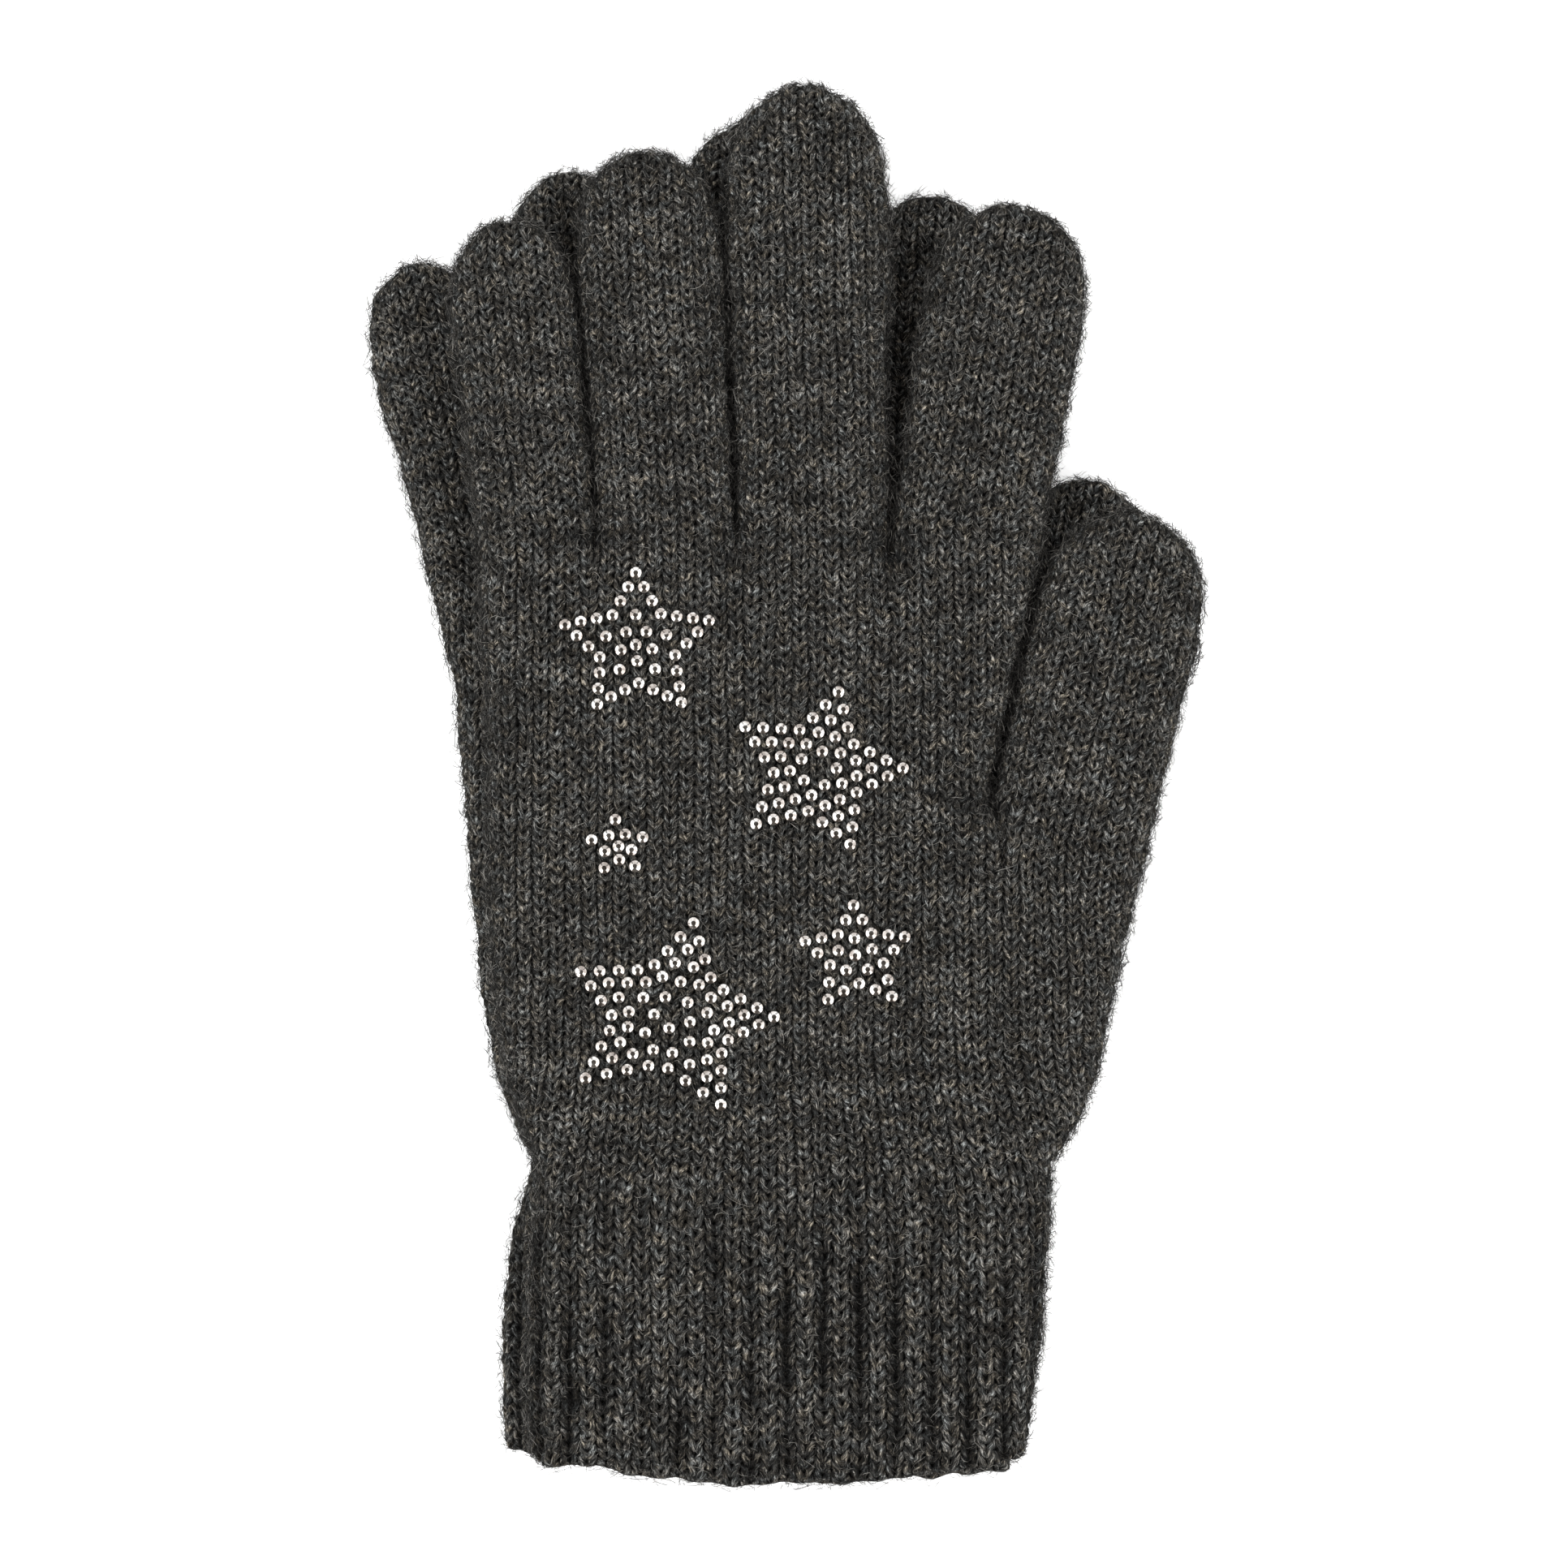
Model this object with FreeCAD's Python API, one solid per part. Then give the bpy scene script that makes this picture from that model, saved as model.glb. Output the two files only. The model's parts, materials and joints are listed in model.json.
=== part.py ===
"""A pair of knitted gloves with stud stars, stored flat and palm to palm.

The left glove lies on top with its back up, and the right glove lies under it with its palm up, so both
thumbs point to +X. Fingers point to +Y. Every knitted section is a hollow shell of its own: cuff, palm,
knuckle panel, thumb and four fingers. Each stud is a small dome glued to the back of its glove.
Plan positions are given from the middle of the upper glove's wrist. At the end everything is shifted so
that the origin is the bottom centre of the pair. Units are millimetres.
"""

import FreeCAD
import Part
import math
import os

Vector = FreeCAD.Vector

# Fabric and layers
THICKNESS = 9.6  # one glove, lying flat, over both layers of knit
FABRIC = 1.7  # one layer of knit
EDGE_ROUND = 4.3  # radius of the fold along a section's sides
LAYER_GAP = 0.4  # between the two gloves
FINGER_GAP = 0.4  # between neighbouring digits
SEAM_GAP = 0.3  # where a digit or the cuff turns on the hand
RUN_ON = 8.0  # how far a section is drawn past its ends before they are trimmed
FAR = 200.0  # larger than the pair

# Studs
STUD_RADIUS = 1.0
STUD_HEIGHT = 0.8
STUD_RIM = 0.15
TABLE_RADIUS = 0.35  # flat top of a stud

# Joints
KNUCKLE_DEPTH = 20.0  # from a digit's root back to the knuckle that it swings about
SPREAD_DEG = {"pinky": 12.0, "ring": 7.0, "middle": 2.0, "index": -4.0, "thumb": -18.0}
SWEEP_SPARE_DEG = 1.5

# A digit: left and right end of its root, tip, half width at mid length
LEFT_DIGITS = {
    "pinky": ((-51.7, 102.4), (-32.2, 102.4), (-46.9, 152.2), 9.8),
    "ring": ((-32.2, 102.4), (-9.6, 102.4), (-24.7, 163.5), 11.5),
    "middle": ((-9.6, 102.4), (15.3, 102.4), (1.3, 174.0), 12.7),
    "index": ((15.3, 102.4), (40.0, 102.4), (36.6, 154.4), 12.6),
    "thumb": ((31.8, 59.2), (55.5, 44.8), (56.2, 104.6), 13.2),
}
RIGHT_DIGITS = {
    "pinky": ((-60.5, 98.0), (-41.2, 99.8), (-62.4, 145.7), 10.0),
    "ring": ((-41.2, 99.8), (-18.7, 102.0), (-37.2, 160.6), 11.4),
    "middle": ((-18.7, 102.0), (6.3, 101.9), (-6.9, 169.2), 12.5),
    "index": ((6.3, 101.9), (30.9, 105.1), (22.3, 156.8), 12.4),
    "thumb": ((25.8, 61.4), (50.5, 48.7), (48.0, 110.6), 12.9),
}
TIP_SHAPE = 1.2  # length of a digit's rounded end over its half width

# The hand's sides, from the wrist up to the root of the little finger and of the index finger
LEFT_SIDES = {
    "pinky_side": ((-41.4, 0), (-45.8, 12), (-48.8, 30.6), (-49.8, 52), (-50.3, 80), (-51.7, 102.4)),
    "palm_thumb_side": ((41.4, 0), (45.8, 6.5), (50.1, 21.9), (53.4, 36.5), (55.5, 44.8)),
    "panel_thumb_side": ((31.0, 59.2), (34.8, 77.4), (38.0, 91), (40.0, 102.4)),
}
RIGHT_SIDES = {
    "pinky_side": ((-42.9, 0), (-46.8, 9), (-50.9, 26.7), (-52.9, 47), (-55.2, 73), (-60.5, 98.0)),
    "palm_thumb_side": ((39.8, 0), (43.0, 8.8), (46.8, 25.5), (49.4, 40.3), (50.5, 48.7)),
    "panel_thumb_side": ((25.2, 61.4), (27.6, 77), (29.5, 91), (30.9, 105.1)),
}

# The cuff: its two sides from the hem up to the wrist, and the lowest point of the hem
LEFT_CUFF = {
    "pinky_side": ((-42.6, -47.2), (-43.2, -30), (-42.4, -15), (-41.4, 0)),
    "thumb_side": ((37.4, -46.6), (39.2, -32), (40.7, -15), (41.4, 0)),
    "hem": (-6.0, -51.3),
}
RIGHT_CUFF = {
    "pinky_side": ((-47.2, -46.0), (-47.8, -31.5), (-46.4, -15), (-42.9, 0)),
    "thumb_side": ((36.4, -49.6), (38.0, -32), (39.4, -15), (39.8, 0)),
    "hem": (-4.0, -51.0),
}
HEM_CORNER = 4.0

# A star: its middle, its five points clockwise from the top, and its nested rings of studs.
# A ring is (size as a share of the star, gaps from one point to the next); no gaps is one stud in the middle.
STARS = {
    "star_1": (
        (-25.8, 83.8),
        ((-25.8, 95.4), (-14.0, 87.7), (-18.4, 74.5), (-32.0, 74.2), (-37.2, 87.0)),
        ((1.0, 6), (0.42, 2), (0.0, 0)),
    ),
    "star_2": (
        (3.5, 63.9),
        ((6.9, 76.2), (17.3, 63.9), (8.8, 51.6), (-6.4, 54.9), (-8.2, 70.6)),
        ((1.0, 6), (0.63, 4), (0.22, 1)),
    ),
    "star_3": (
        (-28.6, 51.3),
        ((-29.1, 55.6), (-24.7, 52.8), (-25.9, 48.1), (-30.9, 47.8), (-32.9, 52.3)),
        ((1.0, 2), (0.0, 0)),
    ),
    "star_4": (
        (-19.6, 24.8),
        ((-16.5, 38.9), (-3.5, 23.8), (-12.1, 9.6), (-33.9, 13.9), (-34.7, 31.1)),
        ((1.0, 7), (0.70, 5), (0.33, 2)),
    ),
    "star_5": (
        (9.6, 33.7),
        ((9.3, 41.8), (17.6, 36.7), (15.5, 27.1), (5.2, 26.6), (1.5, 36.0)),
        ((1.0, 4), (0.34, 1), (0.0, 0)),
    ),
}
NOTCH = 0.65  # how far a star's inner corners lie from its middle, as a share of the way to its straight edges
RIGHT_TURN_DEG = 4.2  # how far the right glove's hand is turned from the left one's
RIGHT_SHIFT = -1.6


def point(xy, z=0.0):
    return Vector(xy[0], xy[1], z)


def spline(points):
    curve = Part.BSplineCurve()
    curve.interpolate([point(p) for p in points])
    return curve.toShape()


def line(a, b):
    return Part.LineSegment(point(a), point(b)).toShape()


def prism(edges, low, high):
    face = Part.Face(Part.Wire(edges))
    face.translate(Vector(0, 0, low))
    return face.extrude(Vector(0, 0, high - low))


def polygon(points, low, high):
    return prism([line(a, b) for a, b in zip(points, points[1:] + points[:1])], low, high)


def round_sides(solid, radius):
    """Rounds the long curved edges of a prism, which leaves its straight ends flat."""
    sides = [e for e in solid.Edges if isinstance(e.Curve, Part.BSplineCurve)]
    return solid.makeFillet(radius, sides)


def along(start, end, share):
    return tuple(a + (b - a) * share for a, b in zip(start, end))


def middle(a, b):
    return along(a, b, 0.5)


def unit(a, b):
    length = math.hypot(b[0] - a[0], b[1] - a[1])
    return ((b[0] - a[0]) / length, (b[1] - a[1]) / length)


def normal(root_left, root_right):
    """The direction square to a digit's root, pointing out along the digit."""
    across = unit(root_left, root_right)
    return (-across[1], across[0])


def moved(xy, direction, distance):
    return (xy[0] + direction[0] * distance, xy[1] + direction[1] * distance)


def digit_solid(digit, low, high, inset):
    """A digit's outer body, or its hollow when inset is the fabric, run on past its root."""
    root_left, root_right, tip, half = digit
    root = middle(root_left, root_right)
    out = unit(root, tip)
    side = (out[1], -out[0])
    across = unit(root_left, root_right)
    root_half = math.dist(root_left, root_right) / 2 * (across[0] * side[0] + across[1] * side[1])
    length = math.dist(root, tip) - inset
    root_half = root_half - FINGER_GAP / 2 - inset
    full = half - inset
    cap = TIP_SHAPE * full
    shoulder = 0.3
    shoulder_half = full * math.sqrt(1 - (1 - shoulder) ** 2)
    stations = [
        (-RUN_ON, root_half),
        (0.0, root_half),
        (length * 0.45, full),
        (length - cap, full),
        (length - cap * shoulder, shoulder_half),
    ]
    left = [moved(moved(root, out, s), side, -w) for s, w in stations]
    right = [moved(moved(root, out, s), side, w) for s, w in reversed(stations)]
    outline = left + [moved(root, out, length)] + right
    solid = prism([spline(outline), line(outline[-1], outline[0])], low, high)
    return round_sides(solid, EDGE_ROUND - inset)


def digit_shell(digit, low, high):
    outer = digit_solid(digit, low, high, 0.0)
    return outer.cut(digit_solid(digit, low + FABRIC, high - FABRIC, FABRIC))


def run_on(points, length):
    """The points with one more at each end, straight on."""
    first = moved(points[0], unit(points[1], points[0]), length)
    last = moved(points[-1], unit(points[-2], points[-1]), length)
    return (first,) + tuple(points) + (last,)


def section_solid(left_side, right_side, low, high, inset):
    """A section of the hand between two curved sides, run on past both ends."""
    left = [(x + inset, y) for x, y in run_on(left_side, RUN_ON + inset)]
    right = [(x - inset, y) for x, y in run_on(right_side, RUN_ON + inset)]
    edges = [
        spline(left),
        line(left[-1], right[-1]),
        spline(right[::-1]),
        line(right[0], left[0]),
    ]
    return round_sides(prism(edges, low, high), EDGE_ROUND - inset)


def section_shell(left_side, right_side, low, high):
    outer = section_solid(left_side, right_side, low, high, 0.0)
    return outer.cut(section_solid(left_side, right_side, low + FABRIC, high - FABRIC, FABRIC))


def split_side(side, level):
    """The parts of a side below and above a level, sharing the point at that level."""
    for a, b in zip(side, side[1:]):
        if a[1] <= level <= b[1]:
            cut = along(a, b, (level - a[1]) / (b[1] - a[1]))
            below = tuple(p for p in side if p[1] < level - 1) + (cut,)
            return below, (cut,) + tuple(p for p in side if p[1] > level + 1)
    raise ValueError("the level is not on this side")


def beyond_root(digit, gap):
    """Everything on the digit's side of its root."""
    root_left, root_right = digit[0], digit[1]
    out = normal(root_left, root_right)
    across = unit(root_left, root_right)
    start = moved(moved(root_left, out, gap), across, -FAR)
    end = moved(moved(root_right, out, gap), across, FAR)
    return polygon([start, end, moved(end, out, FAR), moved(start, out, FAR)], -FAR, FAR)


def knuckle(digit):
    """The point that a digit of the lower glove swings about, and its root's radius from it."""
    root = middle(digit[0], digit[1])
    pivot = moved(root, normal(digit[0], digit[1]), -KNUCKLE_DEPTH)
    return pivot, math.dist(pivot, digit[0])


def swing_room(name, digit):
    """The ring sector that a swinging digit's root sweeps through."""
    pivot, radius = knuckle(digit)
    ends = [math.degrees(math.atan2(p[1] - pivot[1], p[0] - pivot[0])) for p in (digit[1], digit[0])]
    start = ends[0] + min(0.0, SPREAD_DEG[name]) - SWEEP_SPARE_DEG
    end = ends[1] + max(0.0, SPREAD_DEG[name]) + SWEEP_SPARE_DEG
    outer = Part.makeCylinder(radius + RUN_ON, 2 * FAR, point(pivot, -FAR), Vector(0, 0, 1), end - start)
    outer.rotate(point(pivot), Vector(0, 0, 1), start)
    return outer.cut(knuckle_core(digit, 0.0))


def knuckle_core(digit, gap):
    pivot, radius = knuckle(digit)
    return Part.makeCylinder(radius + gap, 2 * FAR, point(pivot, -FAR))


def folding_digits(digits, low, high):
    """The upper glove's digits, cut straight across at the root, where they fold up."""
    return {n: digit_shell(d, low, high).common(beyond_root(d, SEAM_GAP / 2)) for n, d in digits.items()}


def swinging_digits(digits, low, high):
    """The lower glove's digits, cut on an arc about the knuckle, so that they can swing sideways."""
    made = {}
    for name, digit in digits.items():
        shell = digit_shell(digit, low, high).common(beyond_root(digit, 0.0))
        made[name] = shell.cut(knuckle_core(digit, SEAM_GAP))
    return made


def hand_sections(digits, sides, low, high, swinging):
    """The palm, from the wrist to the thumb's root, and the knuckle panel, from there to the fingers."""
    crotch, thumb_end = digits["thumb"][0], digits["thumb"][1]
    level = crotch[1]
    lower_side, upper_side = split_side(sides["pinky_side"], level)
    palm = section_shell(lower_side, sides["palm_thumb_side"], low, high)
    beside_thumb = moved(thumb_end, unit(crotch, thumb_end), FAR)
    palm = palm.common(polygon([(-FAR, 0), (-FAR, level), crotch, beside_thumb, (FAR, 0)], -FAR, FAR))
    panel = section_shell(upper_side, sides["panel_thumb_side"], low, high)
    fingers = [digits[n] for n in ("pinky", "ring", "middle", "index")]
    roots = [f[0] for f in fingers] + [fingers[-1][1]]
    rise = RUN_ON / 2 if swinging else 0.0
    top = [(-FAR, roots[0][1] + rise)] + [(x, y + rise) for x, y in roots] + [(FAR, roots[-1][1] + rise)]
    panel = panel.common(polygon([(FAR, level), (-FAR, level)] + top, -FAR, FAR))
    if swinging:
        for name in ("pinky", "ring", "middle", "index"):
            panel = panel.cut(swing_room(name, digits[name]))
        palm = palm.cut(swing_room("thumb", digits["thumb"]))
        return palm, panel
    for finger in fingers:
        panel = panel.cut(root_band(finger))
    return palm.cut(beyond_root(digits["thumb"], -SEAM_GAP / 2)), panel


def root_band(digit):
    """A strip across a digit's root that keeps the panel half a seam gap away from it."""
    out = normal(digit[0], digit[1])
    ends = [moved(digit[0], out, -SEAM_GAP / 2), moved(digit[1], out, -SEAM_GAP / 2)]
    return polygon(ends + [moved(ends[1], out, RUN_ON), moved(ends[0], out, RUN_ON)], -FAR, FAR)


def cuff(shape, low, high, gap):
    """The ribbed cuff, with its curved hem and two rounded hem corners."""
    left_side, right_side = shape["pinky_side"], shape["thumb_side"]
    shell = section_shell(left_side, right_side, low, high)
    left, right = left_side[0], right_side[0]
    hem = Part.Arc(point(left), point(shape["hem"]), point(right)).toShape()
    corners = [(right[0] + RUN_ON, right[1]), (FAR, -gap), (-FAR, -gap), (left[0] - RUN_ON, left[1])]
    edges = [hem] + [line(a, b) for a, b in zip([right] + corners, corners + [left])]
    keep = prism(edges, -FAR, FAR)
    upright = [e for e in keep.Edges if is_upright_at(e, left) or is_upright_at(e, right)]
    return shell.common(keep.makeFillet(HEM_CORNER, upright))


def is_upright_at(edge, xy):
    ends = [v.Point for v in edge.Vertexes]
    return len(ends) == 2 and all(math.dist((p.x, p.y), xy) < 0.01 for p in ends)


def star_points(centre, points, rings):
    """Where a star's studs sit: evenly spaced on the bent line from each point of a ring to the next."""
    places = []
    for size, gaps in rings:
        if gaps == 0:
            places.append(centre)
            continue
        tips = [along(centre, tip, size) for tip in points]
        for a, b in zip(tips, tips[1:] + tips[:1]):
            corner = along(centre, middle(a, b), NOTCH)
            first, second = math.dist(a, corner), math.dist(corner, b)
            for i in range(gaps):
                way = (first + second) * i / gaps
                if way < first:
                    places.append(along(a, corner, way / first))
                else:
                    places.append(along(corner, b, (way - first) / second))
    return places


def stud(xy, base, up):
    """A dome with a thin upright rim and a small flat top; up is 1 or -1."""
    rim = Vector(STUD_RADIUS, 0, STUD_RIM)
    shoulder_angle = math.radians(50)
    bulge = Vector(
        TABLE_RADIUS + (STUD_RADIUS - TABLE_RADIUS) * math.sin(shoulder_angle),
        0,
        STUD_RIM + (STUD_HEIGHT - STUD_RIM) * math.cos(shoulder_angle),
    )
    table = Vector(TABLE_RADIUS, 0, STUD_HEIGHT)
    foot = Vector(STUD_RADIUS, 0, 0)
    top = Vector(0, 0, STUD_HEIGHT)
    edges = [
        Part.LineSegment(Vector(), foot).toShape(),
        Part.LineSegment(foot, rim).toShape(),
        Part.Arc(rim, bulge, table).toShape(),
        Part.LineSegment(table, top).toShape(),
        Part.LineSegment(top, Vector()).toShape(),
    ]
    solid = Part.Face(Part.Wire(edges)).revolve(Vector(), Vector(0, 0, 1), 360)
    if up < 0:
        solid.rotate(Vector(), Vector(1, 0, 0), 180)
    solid.translate(point(xy, base))
    return solid


def turned(xy):
    """A point on the left glove's back, where the right glove has it."""
    angle = math.radians(RIGHT_TURN_DEG)
    x, y = xy
    return (
        x * math.cos(angle) - y * math.sin(angle) + RIGHT_SHIFT,
        x * math.sin(angle) + y * math.cos(angle),
    )


def stars(side, base, up):
    made = {}
    for name, (centre, points, rings) in STARS.items():
        places = star_points(centre, points, rings)
        if side == "right":
            places = [turned(p) for p in places]
        made[name] = Part.makeCompound([stud(p, base, up) for p in places])
    return made


def left_glove():
    """The upper glove, back up."""
    low = THICKNESS + LAYER_GAP
    high = low + THICKNESS
    parts = folding_digits(LEFT_DIGITS, low, high)
    parts["palm"], parts["knuckle_panel"] = hand_sections(LEFT_DIGITS, LEFT_SIDES, low, high, False)
    parts["cuff"] = cuff(LEFT_CUFF, low, high, SEAM_GAP)
    parts.update(stars("left", high, 1))
    return parts


def right_glove():
    """The lower glove, back down. Its hand rests on its studs, and its digits and cuff on the table."""
    parts = swinging_digits(RIGHT_DIGITS, 0.0, THICKNESS)
    sections = hand_sections(RIGHT_DIGITS, RIGHT_SIDES, STUD_HEIGHT, THICKNESS, True)
    parts["palm"], parts["knuckle_panel"] = sections
    parts["cuff"] = cuff(RIGHT_CUFF, 0.0, THICKNESS, 0.0)
    parts.update(stars("right", STUD_HEIGHT, -1))
    return parts


def pair():
    """Both gloves by node name, in the part's own frame, and the shift that put them there."""
    nodes = {f"left_{n}": s for n, s in left_glove().items()}
    nodes.update({f"right_{n}": s for n, s in right_glove().items()})
    box = Part.makeCompound(list(nodes.values())).optimalBoundingBox(True)
    shift = Vector(-(box.XMin + box.XMax) / 2, -(box.YMin + box.YMax) / 2, 0)
    for shape in nodes.values():
        shape.translate(shift)
    return nodes, shift


def main():
    os.makedirs("parts", exist_ok=True)
    nodes, _ = pair()
    for name, shape in nodes.items():
        shape.exportStep(f"parts/{name}.step")


main()
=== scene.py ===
"""The looks of a pair of knitted gloves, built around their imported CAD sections.

Each CAD section (cuff, palm, knuckle panel, thumb, four fingers) is replaced with a knitted shell.
A shell is a grid of points wrapped round the section: rows follow the courses of the knit, from the
wrist to the fingertips, and columns run round the tube. A hand section splits into lobes where the
digits begin, so that each digit's first row is exactly the hand's last one. The stitches are real
relief on that grid, and a coat of fine fibres grows on it. Lengths in this script are millimetres
until a mesh is made.
"""

import json
import math
import bpy
import numpy as np
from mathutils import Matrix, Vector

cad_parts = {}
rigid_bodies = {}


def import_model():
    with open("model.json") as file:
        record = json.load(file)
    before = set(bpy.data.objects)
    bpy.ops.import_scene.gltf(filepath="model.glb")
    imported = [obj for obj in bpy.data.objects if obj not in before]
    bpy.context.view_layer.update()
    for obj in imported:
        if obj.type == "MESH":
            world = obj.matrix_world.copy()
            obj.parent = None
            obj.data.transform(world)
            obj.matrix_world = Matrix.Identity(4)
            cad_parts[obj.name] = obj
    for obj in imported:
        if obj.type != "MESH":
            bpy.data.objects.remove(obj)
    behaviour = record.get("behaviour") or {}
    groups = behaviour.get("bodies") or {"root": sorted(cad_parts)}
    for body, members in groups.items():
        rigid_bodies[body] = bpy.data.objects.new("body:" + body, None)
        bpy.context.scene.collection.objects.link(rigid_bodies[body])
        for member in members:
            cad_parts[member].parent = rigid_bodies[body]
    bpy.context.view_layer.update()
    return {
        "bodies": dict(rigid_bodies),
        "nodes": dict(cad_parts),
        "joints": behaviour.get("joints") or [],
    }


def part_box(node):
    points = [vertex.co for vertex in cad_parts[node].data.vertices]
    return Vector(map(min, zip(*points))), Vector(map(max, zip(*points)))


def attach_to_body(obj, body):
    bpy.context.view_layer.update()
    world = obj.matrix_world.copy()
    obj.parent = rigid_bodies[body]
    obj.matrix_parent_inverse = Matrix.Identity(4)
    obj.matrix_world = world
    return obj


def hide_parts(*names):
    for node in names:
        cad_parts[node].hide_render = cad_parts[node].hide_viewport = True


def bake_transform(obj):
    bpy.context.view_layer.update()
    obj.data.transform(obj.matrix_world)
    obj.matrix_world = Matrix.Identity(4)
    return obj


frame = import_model()

MM = 0.001
FINGERS = ("pinky", "ring", "middle", "index")
DIGITS = FINGERS + ("thumb",)

# Knit
WALE = 2.62  # width of a column of stitches
COURSE = 1.68  # height of a row of stitches
CUFF_WALE = 2.93
CUFF_COURSE = 2.1
WALL = 1.5  # thickness of the knit
LEG_PLACE = 0.26  # how far into its column a leg's middle is, as a share of the column
LEG_HALF_WIDTH = 0.54  # a leg of a stitch is a leaning oval
LEG_HALF_LENGTH = 1.45
LEG_ANGLE = math.radians(28)
LEG_COS, LEG_SIN = math.cos(LEG_ANGLE), math.sin(LEG_ANGLE)
RELIEF = 0.9  # depth of the gaps between legs
RIB_DEPTH = 1.05  # depth of the furrows between the cuff's ribs
RIB_END = 7.0  # how far above the wrist the ribs end
RIB_FADE = 34.0  # length over which the knit changes from the hand's to the cuff's
WIDEN_HEIGHT = 22.0  # how far above the wrist the columns start to widen
# Length over which a digit's columns take over from the hand's, below its root and above it
TAKEOVER = {"finger": 9.0, "thumb": 16.0, "digit": 8.0}

# Shape
HAND_CORNER = 7.5  # how far in from its side a hand section starts to curve down
DIGIT_CORNER = 0.62  # the same for a digit, as a share of its half width
ROOT_MARGIN = 0.2  # how far a digit's root reaches past its CAD section's sides
GROOVE_FADE = 3.2  # length over which the groove below a crotch flattens out
GROOVE_WIDTH = 6.0  # how wide the deeper grooves below the crotches are
TURN = 12.0  # length over which a digit's courses turn to its own direction
SETTLE = 10.0  # length over which a digit or the cuff comes down from the hand's lower side
TIP = 11.0  # length of a digit's rounded end, seen from above
TIP_ARC = 1.45  # how many times as long the way over it is
TIP_END = math.radians(86)  # how far round it the last row is
TIP_FULLNESS = 0.62  # the less this is, the blunter it is
HEM_CORNER = 9.0  # how far above the hem the cuff has its full width
HEM_ROLL = 0.35  # how far the hem's round edge stands below its last course
BEND = 13.0  # length of the line that bend_line gives past a joint; nothing uses that line

# Mesh
# The width of a column of points above and below, and the height of a row
STEP = {"left": (0.28, 0.70, 0.28), "right": (0.40, 0.60, 0.36)}
INNER_ROWS = 6  # the inner surface keeps every sixth row
SAMPLES = 24  # points read on a section's side
HEM_SAMPLES = 90  # points read on the hem
CORNER_SAMPLES = 40  # points on a round side
NEAR_ROW = 0.05  # a section is read this far past its end

UP = np.array([0.0, 1.0])  # along the glove, in plan
RIGHTWARD = np.array([1.0, 0.0])

rng = np.random.default_rng(20)


def smooth(t):
    t = np.clip(t, 0.0, 1.0)
    return t * t * (3 - 2 * t)


def unit(v):
    return v / np.linalg.norm(v)


def unit_rows(v):
    """Many vectors, each brought to length 1."""
    return v / np.maximum(np.linalg.norm(v, axis=-1), 1e-9)[..., None]


def mix(a, b, t):
    return a + (b - a) * t


# ------------------------------------------------ the CAD sections


def cad_mesh(node):
    """A CAD node's vertices and edges."""
    mesh = frame["nodes"][node].data
    co = np.empty(len(mesh.vertices) * 3)
    mesh.vertices.foreach_get("co", co)
    edges = np.empty(len(mesh.edges) * 2, int)
    mesh.edges.foreach_get("vertices", edges)
    return co.reshape(-1, 3) / MM, edges.reshape(-1, 2)


def reach(cad, origin, along):
    """How far a section reaches to the left and right of origin, on the line square to along."""
    co, edges = cad
    side = np.array([along[1], -along[0]])
    s = (co[:, :2] - origin) @ along
    a, b = s[edges[:, 0]], s[edges[:, 1]]
    hit = a * b < 0
    t = (a[hit] / (a[hit] - b[hit]))[:, None]
    crossing = mix(co[edges[hit, 0], :2], co[edges[hit, 1], :2], t)
    across = (crossing - origin) @ side
    return across.min(), across.max()


def joint_of(body):
    return next(j for j in frame["joints"] if j["child"] == body)


class Digit:
    """A digit's root line, direction and outline, read from its CAD node."""

    def __init__(self, side, name):
        self.cad = cad_mesh(f"{side}_{name}")
        co = self.cad[0][:, :2]
        pivot = np.array(joint_of(f"{side}_{name}")["pos_m"][:2]) / MM
        far = co[np.argsort(-np.linalg.norm(co - pivot, axis=1))[:40]].mean(0)
        out = unit(far - pivot)
        side_way = np.array([out[1], -out[0]])
        if side == "left":
            # The root lies along the axis that the digit folds about
            axis = unit(np.array(joint_of(f"{side}_{name}")["axis"][:2], float))
            near = co[np.abs((co - pivot) @ np.array([-axis[1], axis[0]])) < 1.0]
            across = (near - pivot) @ axis
            self.left = pivot + axis * (across.min() - ROOT_MARGIN)
            self.right = pivot + axis * (across.max() + ROOT_MARGIN)
        else:
            # The root is the section's end nearest the pivot that the digit swings about
            distance = np.linalg.norm(co - pivot, axis=1)
            near = co[distance < distance.min() + 0.15]
            across = (near - pivot) @ side_way
            self.left = near[across.argmin()] - side_way * ROOT_MARGIN - out * 0.3
            self.right = near[across.argmax()] + side_way * ROOT_MARGIN - out * 0.3
        self.root = (self.left + self.right) / 2
        # The direction runs from the root to the tip, and the tip depends on it a little
        for _ in range(3):
            out = unit(far - self.root)
            s = (co - self.root) @ out
            far = co[s > s.max() - 0.25].mean(0)
        self.out = out
        self.length = s.max()
        across = unit(self.right - self.left)
        self.normal = np.array([-across[1], across[0]])

    def direction(self, s):
        return unit(mix(self.normal, self.out, smooth(s / TURN)))

    def row(self, s):
        """The left and right ends of the row at distance s from the root."""
        here = self.root + self.out * s
        along = self.direction(s)
        side = np.array([along[1], -along[0]])
        if s <= 0:
            return self.left, self.right
        low, high = reach(self.cad, here, along)
        start_low, start_high = (self.left - here) @ side, (self.right - here) @ side
        share = smooth(s / 3.0)
        return here + side * mix(start_low, low, share), here + side * mix(start_high, high, share)


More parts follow.
